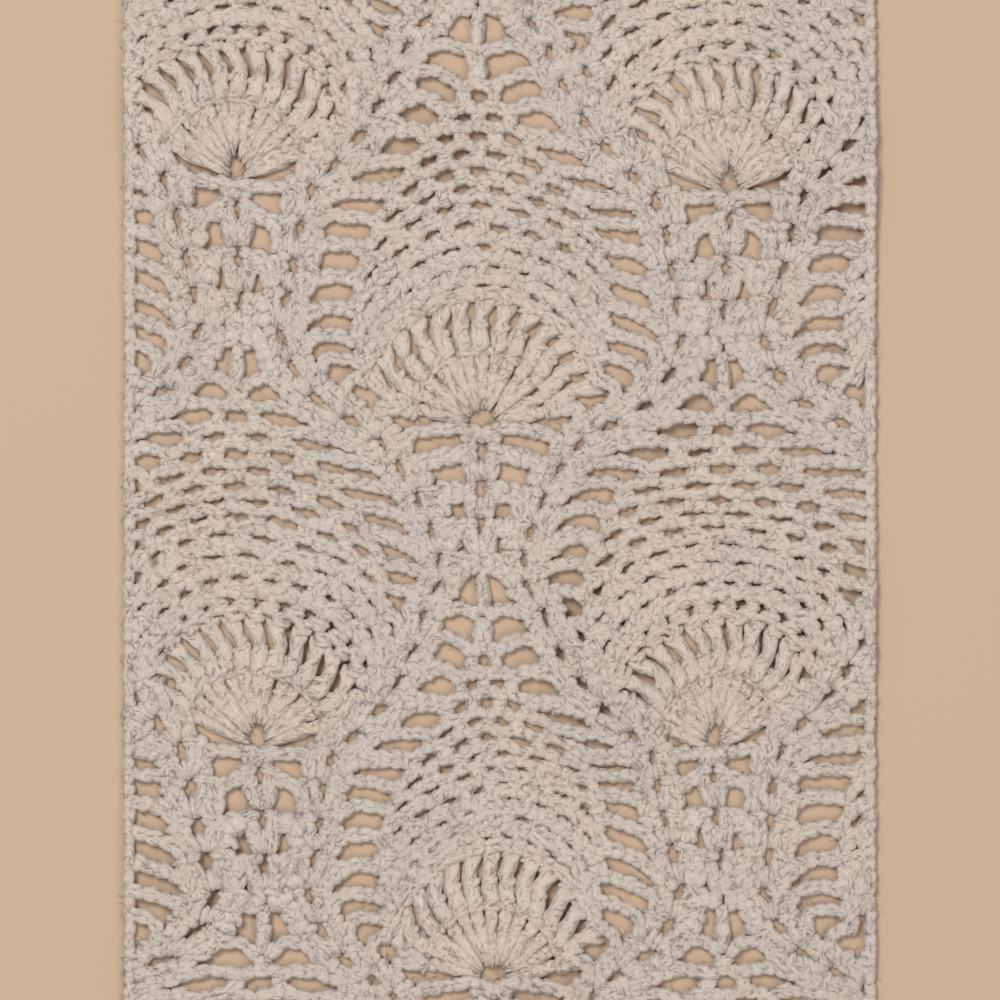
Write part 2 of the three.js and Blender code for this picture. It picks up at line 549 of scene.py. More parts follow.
@dataclass
class StitchMaker:
    """Works single stitches as short lengths of yarn, with heights over the cloth's underside."""

    seed: int
    yarn: float = 3.0
    loose: float = 0.32
    back: float = 1.4
    post_height: float = 1.25
    post_rise: float = 0.75
    post_back_height: float = 1.7
    chain_back_height: float = 1.9
    chain_foot_height: float = 0.95
    wrap_height: float = 2.55
    crossing_length: float = 0.13
    strands: list[Strand] = field(default_factory=list)

    def __post_init__(self) -> None:
        """Start the seeded unevenness of this hand."""
        self.chance = np.random.default_rng(self.seed)

    def jitter(self, place: np.ndarray) -> np.ndarray:
        """Move a place a little, as an uneven hand does."""
        return place + self.chance.normal(0.0, self.loose, 2)

    def add(
        self,
        flat: np.ndarray,
        height: np.ndarray,
        half: np.ndarray,
        warmth: float,
        squash: float | np.ndarray = 1.0,
    ) -> None:
        """Keep one length of yarn.

        Args:
            flat: the centre line's places on the chart.
            height: the centre line's height.
            half: the half width along it.
            warmth: 0 for the cool grey cream and 1 for the warmest.
            squash: half depth as a share of the half width.
        """
        line = np.concatenate([flat, height[:, None]], axis=1)
        deep = np.minimum(half * squash, np.maximum(height - 0.05, 0.3))
        self.strands.append(Strand(line, half, deep, warmth + self.chance.normal(0.0, 0.12)))

    def add_back(
        self, flat: np.ndarray, height: float, half: np.ndarray, warmth: float, flattest: float
    ) -> None:
        """Keep the yarn behind a stitch, which is flatter where it is wider.

        Args:
            flat: the centre line's places on the chart.
            height: the height of all of it.
            half: the half width along it.
            warmth: the yarn's warmth of colour.
            flattest: the least half depth, as a share of the half width.
        """
        squash = np.maximum(flattest, self.back / half)
        self.add(flat, np.full(len(half), height), half, warmth, squash)

    def post(
        self,
        foot: np.ndarray,
        head: np.ndarray,
        kind: Post,
        mirrored: bool = False,
        sway: float = 0.0,
    ) -> None:
        """Work the upright part of a stitch: two strands that may cross over each other.

        Args:
            foot: where it grips the row under it.
            head: where its top loop lies.
            kind: how it is made.
            mirrored: whether the strands start on the other side.
            sway: how strongly it bows to the left and steps to the right at its head.
        """
        foot, head = self.jitter(foot), self.jitter(head)
        along = head - foot
        side = sideways(unit(along))
        share = np.linspace(0.0, 1.0, kind.rings.value)
        fine = kind.fine_foot
        radius = self.yarn / 2 * (fine + (1.0 - fine) * eased(share * 1.5))
        width = kind.width(share) * self.chance.normal(1.0, 0.05) * kind.waisted(share)
        sweep = np.maximum(width / 2 - radius, 0.1)
        swing = np.full(kind.rings.value, -1.0 if mirrored else 1.0)
        over = np.zeros(kind.rings.value)
        for number, crossing in enumerate(kind.crossings):
            away = (share - crossing - self.chance.normal(0.0, 0.03)) / self.crossing_length
            swing *= -np.tanh(away)
            over += np.exp(-(away**2)) * (1.0 if number % 2 == 0 else -1.0)
        tuck = eased(np.minimum(share / 0.12 + 0.15, (1.0 - share) / 0.12 + 0.3))
        middle = foot + along * share[:, None]
        for sign in (1.0, -1.0):
            flat = middle + side * (sign * sweep * swing + bowed(share, sway))[:, None]
            height = self.post_height + (self.post_rise + sign * 0.35 * over) * tuck
            self.add(flat, height, radius * self.chance.normal(1.0, 0.05), kind.warmth, 0.88)
        for wrap in kind.wraps:
            self.wrap(foot, head, wrap, width, kind.warmth)
        share = np.linspace(0.02, 0.98, (Rings.MIDDLE if sway else Rings.CORE).value)
        flat = foot + along * share[:, None] + side * bowed(share, sway)[:, None]
        half = kind.width(share) * kind.body * (1.0 - 0.3 * share**2) * kind.waisted(share)
        self.add_back(flat, self.post_back_height, half, kind.warmth, 0.6)

    def wrap(
        self, foot: np.ndarray, head: np.ndarray, share: float, width: np.ndarray, warmth: float
    ) -> None:
        """Lay a yarn-over slantwise across a post.

        Args:
            foot: the post's foot.
            head: the post's head.
            share: how far up the post it crosses.
            width: the post's widths along it.
            warmth: the yarn's warmth of colour.
        """
        along = head - foot
        side = sideways(unit(along))
        reach = float(np.interp(share, np.linspace(0, 1, len(width)), width)) / 2 - 0.5
        steps = np.linspace(-1.0, 1.0, Rings.SHORT.value)
        lean = 1.5 / max(float(np.hypot(along[0], along[1])), 1.0)
        flat = foot + along * (share + lean * steps)[:, None] + side * (-steps * reach)[:, None]
        height = self.wrap_height - 1.1 * np.abs(steps) ** 2.4
        self.add(flat, height, np.full(len(steps), self.yarn * 0.42), warmth)

    def chain(
        self,
        start: np.ndarray,
        end: np.ndarray,
        width: float,
        warmth: float,
        high: float = 2.4,
        core: bool = False,
    ) -> None:
        """Work one chain: two arms that open from a point, as a V lying on its side.

        Args:
            start: where the V is closed.
            end: where it is open.
            width: its whole width.
            warmth: the yarn's warmth of colour.
            high: how high the arms' middle lies.
            core: whether the bump at the back is made too.
        """
        along = end - start
        side = sideways(unit(along))
        steps = np.linspace(-0.32, 1.2, Rings.SHORT.value)
        radius = self.yarn / 2
        sweep = max(width * self.chance.normal(1.0, 0.06) / 2 - radius, 0.2)
        low = self.chain_foot_height
        rise = np.array([low, high - 0.25, high + 0.1, high, high - 0.4, low])
        for sign in (1.0, -1.0):
            shift = start + self.chance.normal(0.0, 0.1, 2) + along * steps[:, None]
            flat = shift + side * (sign * sweep * CHAIN_SPREAD)[:, None]
            self.add(flat, rise, radius * CHAIN_THICKNESS, warmth)
        if core:
            share = np.linspace(-0.1, 1.1, Rings.CORE.value)
            flat = start + along * share[:, None]
            half = np.full(len(share), width * 0.5)
            self.add_back(flat, self.chain_back_height, half, warmth, 0.5)

    def chain_row(
        self,
        line: np.ndarray,
        width: float,
        warmth: float,
        unit_length: float = 4.3,
        turned: bool = False,
    ) -> None:
        """Work chains one after another along a line.

        Args:
            line: places along the row.
            width: the chain's width.
            warmth: the yarn's warmth of colour.
            unit_length: how long one chain should be.
            turned: whether the row was worked from the line's far end.
        """
        places = line[::-1] if turned else line
        steps = np.hypot(*np.diff(places, axis=0).T)
        run = np.concatenate([[0.0], np.cumsum(steps)])
        count = max(1, round(float(run[-1]) / unit_length))
        marks = np.linspace(0.0, run[-1], count + 1)
        knots = np.stack([np.interp(marks, run, places[:, i]) for i in (0, 1)], axis=1)
        knots += self.chance.normal(0.0, self.loose * 0.6, knots.shape)
        for first, second in zip(knots[:-1], knots[1:]):
            self.chain(first, second, width, warmth, core=True)

    def shell(
        self,
        under: np.ndarray,
        space: np.ndarray,
        way: np.ndarray,
        heads: tuple[float, ...],
        width: float,
        forward: float = SHELL_FORWARD,
        bow: float = SHELL_BOW,
        grip: float = SHELL_GRIP,
    ) -> None:
        """Work one shell of four double crochets that fan out of the space under it.

        Args:
            under: the space that its feet go into.
            space: the shell's own space, between its middle heads.
            way: the direction the shells run in.
            heads: how far each head lies to the side of the space.
            width: how wide a double crochet is at its head.
            forward: how far past the space the middle heads reach.
            bow: how the outer heads lie ahead of the middle ones, for each millimetre squared.
            grip: how far past the space under it its feet lie.
        """
        across = sideways(way)
        kind = Post(3.6, width, Rings.SHORT, 0.15, wraps=(0.62,), fine_foot=0.75, body=0.64)
        for index, offset in enumerate(heads):
            head = space + across * offset + way * (forward + bow * offset * offset)
            inward = 0.14 + 0.07 * abs(offset)
            foot = under + across * (inward * offset) + way * (grip - 0.03 * offset * offset)
            self.post(foot, head - way * 0.4, kind, mirrored=index % 2 == 1)
            tip = unit(across + way * (2 * bow * offset))
            self.chain(head - tip * 1.8, head + tip * 1.8, 4.4, 0.1, high=1.8)
        share = np.linspace(0.12, 0.66, Rings.CORE.value)
        foot = under + way * (grip - SHELL_GRIP)
        between = foot + (space + way * (forward - SHELL_FORWARD) - under) * share[:, None]
        self.add(between, np.full(len(share), 1.5), 1.2 + 1.1 * share, 0.15, 0.8)


@dataclass
class SideShells:
    """The bands of shells that wind between the pineapples."""

    chart: LaceChart
    maker: StitchMaker
    bands: tuple[tuple[int, int], ...]
    heads: tuple[float, ...] = (-6.3, -3.6, 3.6, 6.3)
    width: float = 4.5
    first_row: int = -40
    last_row: int = 41

    def work(self) -> list[Strand]:
        """Work every shell of the bands, each into the space of the one under it.

        Returns:
            The strands that it took.
        """
        for column, side in self.bands:
            for row in range(self.first_row, self.last_row + 1):
                under = self.chart.side_space(column, side, row - 1)
                space = self.chart.side_space(column, side, row)
                way = self.chart.side_way(column, side, row)
                self.maker.shell(under, space, way, self.heads, self.width)
        return self.maker.strands


@dataclass
class CentreShells:
    """The shells that stand over each pineapple's tip, up to the next fan."""

    chart: LaceChart
    maker: StitchMaker
    width: float = 4.0
    grip: float = 2.7
    last_forward: float = -4.6
    last_bow: float = 0.02

    def work(self) -> list[Strand]:
        """Work four shells and the tall post under them in every repeat.

        Returns:
            The strands that it took.
        """
        for fan in self.chart.fans():
            spaces = CENTRE_SPACES[fan.parity]
            for under, space in zip(spaces[:-1], spaces[1:]):
                last = space == spaces[-1]
                self.maker.shell(
                    self.chart.place(fan, 1, point(0, under)),
                    self.chart.place(fan, 1, point(0, space)),
                    point(0.0, 1.0),
                    (LAST_HEADS if last else CENTRE_HEADS)[fan.parity],
                    self.width,
                    forward=self.last_forward if last else SHELL_FORWARD,
                    bow=self.last_bow if last else SHELL_BOW,
                    grip=self.grip,
                )
            self.work_close(fan, spaces[-1])
            self.work_tip(fan, spaces[0])
        return self.maker.strands

    def work_close(self, fan: Fan, top: float) -> None:
        """Work the chains that close the last shell against the foot of the next fan.

        Args:
            fan: which pineapple.
            top: how high over the fan centre the last space lies.
        """
        for side in (-1, 1):
            across = np.linspace(0.0, 9.5, 6)
            rise = -5.0 + (2.6 if fan.parity is Parity.EVEN else 0.2) * eased(across / 7.0)
            spots = np.stack([across, top + rise], axis=1)
            line = np.array([self.chart.place(fan, side, spot) for spot in spots])
            self.maker.chain_row(line, 4.4, 0.2)

    def work_tip(self, fan: Fan, top: float) -> None:
        """Work the short stitch that closes the last loop and the tall post over it.

        Args:
            fan: which pineapple.
            top: how high over the fan centre the tall post ends.
        """
        low = self.chart.place(fan, 1, point(0, NET_ROWS[-1].up + 3.0))
        middle = self.chart.place(fan, 1, point(0, top - TIP_POST_LENGTH))
        high = self.chart.place(fan, 1, point(0, top - 0.6))
        self.maker.post(low, middle, TIP_CLOSING)
        self.maker.post(middle, high, TIP_POST)


@dataclass
class PineappleFans:
    """The solid half-round fan at the foot of each pineapple and the open spokes round it."""

    chart: LaceChart
    maker: StitchMaker
    stitches: int = 13
    rim: float = 24.6
    spoke_foot: float = 24.2
    spoke_head: float = 44.6
    shorter_under: float = 40.0
    shorter_by: float = 7.0
    shorter_over: float = 13.6

    def stitch_angles(self, parity: Parity) -> np.ndarray:
        """The directions of the fan's stitches, in radians from the right."""
        lowest = FAN_SHAPES[parity].lowest_stitch
        return np.radians(np.linspace(lowest, 180.0 - lowest, self.stitches))

    def spoke_angles(self, parity: Parity) -> np.ndarray:
        """The directions of the spokes' heads, in radians from the right."""
        lowest = FAN_SHAPES[parity].lowest_spoke
        return np.radians(np.linspace(lowest, 180.0 - lowest, self.stitches))

    def head_reach(self, parity: Parity, angle: float) -> float:
        """How far out a spoke's head lies. The lowest ones of an odd fan are shorter.

        Args:
            parity: whether the fan's column is even or odd.
            angle: the spoke's direction, in radians up from level.

        Returns:
            The distance from the fan centre.
        """
        if parity is Parity.EVEN:
            return self.spoke_head
        low = min(math.degrees(angle), 180.0 - math.degrees(angle))
        short = max(0.0, (self.shorter_under - low) / self.shorter_over)
        return self.spoke_head - self.shorter_by * short

    def at(self, fan: Fan, radius: float, angle: float) -> np.ndarray:
        """A place at some distance and direction from a fan centre."""
        spot = point(radius * math.cos(angle), radius * math.sin(angle))
        return self.chart.place(fan, 1, spot)

    def work(self) -> list[Strand]:
        """Work both rounds of every fan.

        Returns:
            The strands that it took.
        """
        for fan in self.chart.fans():
            self.work_fan(fan)
            self.work_spokes(fan)
        return self.maker.strands

    def work_fan(self, fan: Fan) -> None:
        """Work the tall stitches that go into the space at the fan's centre.

        Args:
            fan: which pineapple.
        """
        shape = FAN_SHAPES[fan.parity]
        angles = self.stitch_angles(fan.parity)
        step = float(angles[1] - angles[0])
        for angle in angles:
            turned = math.pi / 2 + (angle - math.pi / 2) * shape.hole_spread
            hole = point(shape.hole_wide * math.cos(turned), shape.hole_high * math.sin(turned))
            foot = self.chart.place(fan, 1, hole)
            self.maker.post(foot, self.at(fan, self.rim - 1.2, angle), FAN_POST)
            start = self.at(fan, self.rim, angle + step * 0.45)
            end = self.at(fan, self.rim, angle - step * 0.45)
            self.maker.chain(start, end, 4.4, 0.6, high=1.6)

    def work_spokes(self, fan: Fan) -> None:
        """Work the open spokes and the chains between their heads.

        Args:
            fan: which pineapple.
        """
        shape = FAN_SHAPES[fan.parity]
        inner = self.stitch_angles(fan.parity)
        angles = self.spoke_angles(fan.parity)
        step = float(angles[1] - angles[0])
        for index, angle in enumerate(angles):
            reach = self.head_reach(fan.parity, angle)
            foot = self.at(fan, self.spoke_foot, float(inner[index]))
            head = self.at(fan, reach - 1.0, angle)
            sway = self.maker.chance.normal(shape.sway, 0.2)
            self.maker.post(foot, head, shape.spoke, sway=sway)
            start = self.at(fan, reach, angle + step * 0.27)
            end = self.at(fan, reach, angle - step * 0.27)
            self.maker.chain(start, end, 5.4, 0.4)
            if index + 1 < len(angles):
                between = self.head_reach(fan.parity, angle + step * 0.5) + shape.ring
                start = self.at(fan, between, angle + step * 0.8)
                end = self.at(fan, between, angle + step * 0.2)
                self.maker.chain(start, end, 5.6, 0.4, core=True)


@dataclass
class PineappleNet:
    """The loops over each fan, one fewer in every row, and the short stitches between them."""

    chart: LaceChart
    posts: StitchMaker
    loops: StitchMaker
    fans: PineappleFans
    arch: float = 0.6
    post_share: float = 0.53
    tilt: float = 0.052
    loop_length: float = 4.0

    def on_row(self, parity: Parity, row: int, place: float, out: float) -> np.ndarray:
        """A spot on a row of loops, measured from the fan centre.

        Args:
            parity: whether the column is even or odd.
            row: which row of loops.
            place: how many hole spacings to the right of the middle.
            out: how far outside the line of the holes.

        Returns:
            Across and up from the fan centre.
        """
        found = NET_ROWS[row]
        radius = found.radius(parity)
        up = found.up - (0.0 if parity is Parity.ODD else found.even_drop)
        angle = place * found.pitch(parity) / radius
        across = (radius + out) * math.sin(angle)
        return point(across, up - radius + (radius + out) * math.cos(angle) + self.tilt * across)

    def foot(self, parity: Parity, row: int, place: float, index: int) -> np.ndarray:
        """Where a short stitch grips: the row of loops under it, or the spokes under the first.

        Args:
            parity: whether the column is even or odd.
            row: which row of loops the stitch belongs to.
            place: how many hole spacings to the right of the middle it stands.
            index: its number, from the left.

        Returns:
            Across and up from the fan centre.
        """
        if row:
            return self.on_row(parity, row - 1, place, 2.0)
        angles = self.fans.spoke_angles(parity)
        angle = float(angles[len(angles) - 1 - index] + angles[len(angles) - 2 - index]) / 2
        reach = self.fans.head_reach(parity, angle) + FAN_SHAPES[parity].ring + 1.5
        return point(reach * math.cos(angle), reach * math.sin(angle))

    def work(self) -> None:
        """Work the rows of loops of every pineapple."""
        for fan in self.chart.fans():
            for row in range(len(NET_ROWS)):
                self.work_row(fan, row)

    def work_row(self, fan: Fan, row: int) -> None:
        """Work one row: its short stitches and the loops from one to the next.

        Args:
            fan: which pineapple.
            row: which row of loops.
        """
        holes = len(NET_ROWS) - row
        found = NET_ROWS[row]
        pitch = found.pitch(fan.parity)
        width = pitch * self.post_share
        kind = Post(width, width - 0.3, Rings.CORE, 0.3)
        tops = []
        for index in range(holes + 1):
            place = index - holes / 2
            head = self.on_row(fan.parity, row, place, 1.0)
            foot = self.foot(fan.parity, row, place, index)
            tops.append(self.chart.place(fan, 1, head))
            self.posts.post(
                self.chart.place(fan, 1, foot),
                self.chart.place(fan, 1, head + unit(head - foot) * 0.8),
                kind,
                mirrored=(row + index) % 2 == 1,
            )
        share = np.linspace(0.0, 1.0, 9)
        for first, second in zip(tops[:-1], tops[1:]):
            rise = sideways(unit(second - first)) * (self.arch * pitch)
            line = first + (second - first) * share[:, None] + rise * (share * (1 - share))[:, None]
            line = line + unit(rise) * 0.6
            self.loops.chain_row(line, found.width, 0.3, self.loop_length, row % 2 == 1)


@dataclass
class JoiningChains:
    """The thick chains that join the side shells to the pineapples, with the long gaps between.

    Beside the spokes and the first three rows of the net of odd columns, these chains and the
    spokes still lie over the chart's gaps, which are open in the solid.
    """

    chart: LaceChart
    maker: StitchMaker
    net: PineappleNet
    bands: tuple[tuple[int, int], ...]
    hook: float = 5.2
    half_shell: float = 7.0
    slim: float = 5.0
    thick: float = 8.4
    snug_net: float = 1.2
    snug_shells: float = 2.6
    chain_length: float = 4.2

    def shell_end(self, column: int, side: int, row: int) -> tuple[np.ndarray, np.ndarray]:
        """Where the chain of one row leaves the side shells, which is higher up beside a tip.

        Args:
            column: which column of pineapples the chain goes to.
            side: on which side of it.
            row: the row, counted from the column's fan of repeat 0.

        Returns:
            The shell's outer head and a place beside the feet of the next shell.
        """
        if Fan(column, 0).parity is Parity.EVEN:
            even, even_side, even_row, toward = column, side, row, 1.0
        else:
            even, even_side = column + side, -side
            even_row, toward = row - ROWS_TO_ODD_FAN, -1.0
        low = self.chart.side_space(even, even_side, even_row)
        high = self.chart.side_space(even, even_side, even_row + 1)
        out = toward * even_side
        way = self.chart.side_way(even, even_side, even_row)
        head = low + sideways(way) * (out * self.hook)
        share = 0.75 if row % ROWS_PER_REPEAT > TIP_ROW else 0.5
        middle = low + (high - low) * share + sideways(unit(high - low)) * (out * self.half_shell)
        return head, middle

    def inner_end(self, fan: Fan, side: int, row: int) -> np.ndarray:
        """Where the chain of one row meets the pineapple or the shells over its tip.

        Args:
            fan: which pineapple.
            side: on which side of it.
            row: the row within the repeat.

        Returns:
            The place on the chart.
        """
        parity = fan.parity
        fans = self.net.fans
        spaces = CENTRE_SPACES[parity]
        if row < SPOKE_ROW:
            angle = float(fans.stitch_angles(parity)[0])
            spot = point(fans.rim * math.cos(angle), fans.rim * math.sin(angle))
        elif row < NET_ROW:
            angle = float(fans.spoke_angles(parity)[0])
            reach = fans.head_reach(parity, angle)
            spot = point(reach * math.cos(angle), reach * math.sin(angle))
        elif row < WING_ROW:
            holes = len(NET_ROWS) - (row - NET_ROW)
            spot = self.net.on_row(parity, row - NET_ROW, side * holes / 2, 1.0)
            side = 1
        elif row == WING_ROW:
            spot = point(1.5, spaces[0] - TIP_POST_LENGTH)
        elif row == TIP_ROW:
            spot = point(1.0, spaces[0] + 0.4)
        elif row == LAST_SHELL_ROW:
            spot = point(9.0, spaces[-1] - (2.6 if parity is Parity.EVEN else 4.8))
        else:
            spot = point(CENTRE_HEADS[parity][-1] + 0.6, spaces[row - TIP_ROW] - 2.0)
        return self.chart.place(fan, side, spot)

    def work(self) -> list[Strand]:
        """Work the chain of every row along the chosen bands of shells.

        Returns:
            The strands that it took.
        """
        for column, side in self.bands:
            for repeat in REPEATS:
                for row in range(ROWS_PER_REPEAT):
                    self.work_chain(Fan(column, repeat), side, row)
        return self.maker.strands

    def work_chain(self, fan: Fan, side: int, row: int) -> None:
        """Work one chain from the head of a side shell to the pineapple.

        Args:
            fan: which pineapple.
            side: on which side of it.
            row: the row within the repeat.
        """
        head, start = self.shell_end(fan.column, side, row + fan.repeat * ROWS_PER_REPEAT)
        end = self.inner_end(fan, side, row)
        low, low_high = self.chart.gap(fan, side, row)
        high, high_high = self.chart.gap(fan, side, row + 1)
        bend = low + high - (start + end) / 2
        share = np.linspace(0.0, 1.0, 11)[:, None]
        lead = head + (start - head) * np.linspace(0.2, 0.8, 4)[:, None]
        arc = start * (1 - share) ** 2 + bend * 2 * share * (1 - share) + end * share**2
        turned = (row % 2 == 1) == (side == 1)
        snug = self.snug_shells if row >= TIP_ROW else self.snug_net
        width = float(high[1] - low[1]) - (low_high + high_high) / 2 + snug
        width = min(max(width, self.slim), self.thick)
        line = np.concatenate([lead, arc])
        self.maker.chain_row(line, width, 0.1, self.chain_length, turned)


@dataclass
class Edging:
    """A plain chain worked round the cut edge, so that no end is left raw."""

    chart: LaceChart
    maker: StitchMaker
    inset: float = 2.3
    places: int = 80
    chain_width: float = 4.0
    chain_length: float = 4.4
    warmth: float = 0.15

    def work(self) -> list[Strand]:
        """Work the chain once round the cloth.

        Returns:
            The strands that it took.
        """
        half_width, half_length = self.chart.room(self.inset)
        turns = ((-1, -1), (1, -1), (1, 1), (-1, 1), (-1, -1))
        corners_round = [(across * half_width, up * half_length) for across, up in turns]
        for first, second in zip(corners_round[:-1], corners_round[1:]):
            line = np.linspace(first, second, self.places)
            self.maker.chain_row(line, self.chain_width, self.warmth, self.chain_length)
        return self.maker.strands


@dataclass
class YarnBody:
    """Turns lengths of yarn into one mesh, with the cloth's pulls and humps put in."""

    chart: LaceChart
    sides: int = 5
    rough: float = 0.12
    end: float = 0.55
    wander: float = 0.28
    wobble: float = 0.16
    edge_margin: float = 1.6
    middle_margin: float = 2.2
    seed: int = 5
    down: list[LaidStrands] = field(default_factory=list)

    def straight(self, rings: int) -> bmesh.types.BMesh:
        """Make a straight closed strand by extruding a ring of points.

        Args:
            rings: how many rings of points it has.

        Returns:
            The strand, one unit long for each step between rings.
        """
        shape = bmesh.new()
        bmesh.ops.create_circle(shape, cap_ends=True, segments=self.sides, radius=1.0)
        top = list(shape.faces)
        for step in range(rings - 1):
            grown = bmesh.ops.extrude_face_region(shape, geom=top)
            if step:
                bmesh.ops.delete(shape, geom=top, context="FACES_ONLY")
            moved = [v for v in grown["geom"] if isinstance(v, bmesh.types.BMVert)]
            bmesh.ops.translate(shape, verts=moved, vec=(0, 0, 1))
            top = [f for f in grown["geom"] if isinstance(f, bmesh.types.BMFace)]
        return shape

    def template(self, rings: int) -> tuple[np.ndarray, np.ndarray, list[list[int]]]:
        """Read a straight strand as rings and sides.

        Args:
            rings: how many rings of points it has.

        Returns:
            The ring number and the side number of each vertex, and the faces.
        """
        shape = self.straight(rings)
        bmesh.ops.recalc_face_normals(shape, faces=shape.faces)
        shape.verts.index_update()
        places = np.array([v.co for v in shape.verts])
        # An extrusion gives its faces in no fixed order, so they are put in one.
        faces = sorted([v.index for v in f.verts] for f in shape.faces)
        shape.free()
        ring = np.rint(places[:, 2] - places[:, 2].min()).astype(int)
        turn = np.arctan2(places[:, 1], places[:, 0]) / (2 * math.pi) * self.sides
        first = int(np.argmax(np.hypot(places[:, 0], places[:, 1]) > 0.5))
        return ring, np.rint(turn - turn[first]).astype(int) % self.sides, faces

    def laid(self, lines: np.ndarray, clipped: bool) -> np.ndarray:
        """Put the pulls, the unevenness and the humps into centre lines.

        Args:
            lines: centre lines on the chart.
            clipped: whether the lines are pulled and kept inside the cut edge.

        Returns:
            Centre lines in millimetres as the cloth lies.
        """
        flat = self.chart.pulled(lines[..., :2]) if clipped else lines[..., :2].copy()
        wave = np.sin(flat[..., 0] * 0.83 + 1.7 * np.sin(flat[..., 1] * 0.31))
        ripple = np.sin(flat[..., 1] * 0.71 + 1.3 * np.sin(flat[..., 0] * 0.43) + 1.0)
        if clipped:
            flat[..., 0] += self.wander * ripple
            flat[..., 1] += self.wander * wave
            room = self.chart.room(self.edge_margin)
            flat = np.clip(flat, -room, room)
        height = lines[..., 2] + self.wobble * (wave + ripple)
        return np.concatenate([flat, (height + self.chart.lift(flat))[..., None]], axis=-1)

    def build(self, name: str, strands: list[Strand], clipped: bool = True) -> bpy.types.Object:
        """Make one object of many strands.

        Args:
            name: the piece's name.
            strands: its lengths of yarn.
            clipped: whether what lies past the cut edge is left out.

        Returns:
            The new object, linked to the scene.
        """
        groups: dict[int, list[Strand]] = {}
        for strand in strands:
            groups.setdefault(len(strand.wide), []).append(strand)
        chance = np.random.default_rng(self.seed)
        parts = []
        for rings in sorted(groups):
            lines = np.stack([s.line for s in groups[rings]])
            kept = np.ones(len(lines), bool)
            if clipped:
                middle = self.chart.pulled(lines[..., :2]).mean(axis=1)
                kept = (np.abs(middle) < self.chart.room(self.middle_margin)).all(axis=1)
            if kept.any():
                found = LaidStrands(
                    self.laid(lines, clipped)[kept],
                    np.stack([s.wide for s in groups[rings]])[kept],
                    np.stack([s.deep for s in groups[rings]])[kept],
                    np.array([s.warmth for s in groups[rings]])[kept],
                )
                self.down.append(found)
                parts.append(self.tubes(found, chance))
        return self.joined(name, parts)

    def tubes(self, strands: LaidStrands, chance: np.random.Generator) -> dict[str, np.ndarray]:
        """Bend copies of the straight strand along many centre lines.

        Args:
            strands: the lengths of yarn, in millimetres.
            chance: the seeded unevenness.

        Returns:
            Vertices, face corners and what each corner and vertex carries.
        """
        lines = strands.lines
        count, rings = lines.shape[:2]
        ring, side, faces = self.template(rings)
        way = np.gradient(lines, axis=1)
        way /= np.maximum(np.linalg.norm(way, axis=2, keepdims=True), 1e-9)
        left = np.stack([-way[..., 1], way[..., 0], np.zeros_like(way[..., 0])], axis=-1)
        left /= np.maximum(np.linalg.norm(left, axis=2, keepdims=True), 1e-9)
        up = np.cross(way, left)
        ends = np.ones(rings)
        ends[0] = ends[-1] = self.end
        wide, deep = strands.wide * ends, strands.deep * ends
        turn = math.pi / 2 + 2 * math.pi * side / self.sides
        uneven = 1.0 + chance.normal(0.0, self.rough, (count, len(ring)))
        shift = (
            left[:, ring] * (wide[:, ring] * np.cos(turn) * uneven)[..., None]
            + up[:, ring] * (deep[:, ring] * np.sin(turn) * uneven)[..., None]
        )
        points = lines[:, ring] + shift
        points[..., 2] = np.maximum(points[..., 2], 0.0)
        run = np.concatenate(
            [
                np.zeros((count, 1)),
                np.cumsum(np.linalg.norm(np.diff(lines, axis=1), axis=2), axis=1),
            ],
            axis=1,
        )
        corner, sizes, around = [], [], []
        for face in faces:
            sides = side[face]
            seam = len(face) <= 4 and sides.max() == self.sides - 1 and sides.min() == 0
            corner += face
            sizes.append(len(face))
            around += [int(s) + (self.sides if seam and s == 0 else 0) for s in sides]
        corner, around = np.array(corner), np.array(around)
        cap = np.repeat(np.array(sizes) > 4, sizes)
        return {
            "points": points,
            "corner": corner,
            "sizes": np.array(sizes),
            "run": run[:, ring[corner]] * MM,
            "around": np.broadcast_to(around / self.sides, (count, len(corner))),
            "ring": ring[corner] / (rings - 1),
            "cap": cap,
            "turn": turn[corner],
            "warmth": np.repeat(strands.warmth, len(ring)),
        }

    def joined(self, name: str, parts: list[dict[str, np.ndarray]]) -> bpy.types.Object:
        """Join the bent strands into one object with its maps.

        Args:
            name: the piece's name.
            parts: what tubes() gave for each kind of strand.

        Returns:
            The new object, linked to the scene.
        """
        total = sum(len(p["points"]) for p in parts)
        across = max(1, math.ceil(math.sqrt(total / 1.25)))
        down = math.ceil(total / across)
        points, corners, sizes, runs, maps, warmth = [], [], [], [], [], []
        first, placed = 0, 0
        for part in parts:
            count, each = part["points"].shape[:2]
            points.append(part["points"].reshape(-1, 3) * MM)
            offset = first + np.arange(count)[:, None] * each
            corners.append((part["corner"][None, :] + offset).reshape(-1))
            sizes.append(np.tile(part["sizes"], count))
            runs.append(np.stack([part["run"], part["around"]], axis=-1).reshape(-1, 2))
            cell = placed + np.arange(count)
            low = np.stack([cell % across, cell // across], axis=1)[:, None, :].astype(float)
            strip = np.stack([0.05 + 0.76 * part["ring"], 0.06 + 0.88 * part["around"][0]], axis=1)
            disc = np.stack(
                [
                    0.9 + 0.045 * np.cos(part["turn"]),
                    0.27 + 0.46 * part["ring"] + 0.07 * np.sin(part["turn"]),
                ],
                axis=1,
            )
            inside = np.where(part["cap"][:, None], disc, strip)[None, :, :]
            maps.append(((low + inside) / np.array([across, down])).reshape(-1, 2))
            warmth.append(part["warmth"])
            first += count * each
            placed += count
        mesh = bpy.data.meshes.new(name)
        flat = np.concatenate(points)
        corner = np.concatenate(corners)
        size = np.concatenate(sizes)
        mesh.vertices.add(len(flat))
        mesh.vertices.foreach_set("co", flat.astype(np.float32).reshape(-1))
        mesh.loops.add(len(corner))
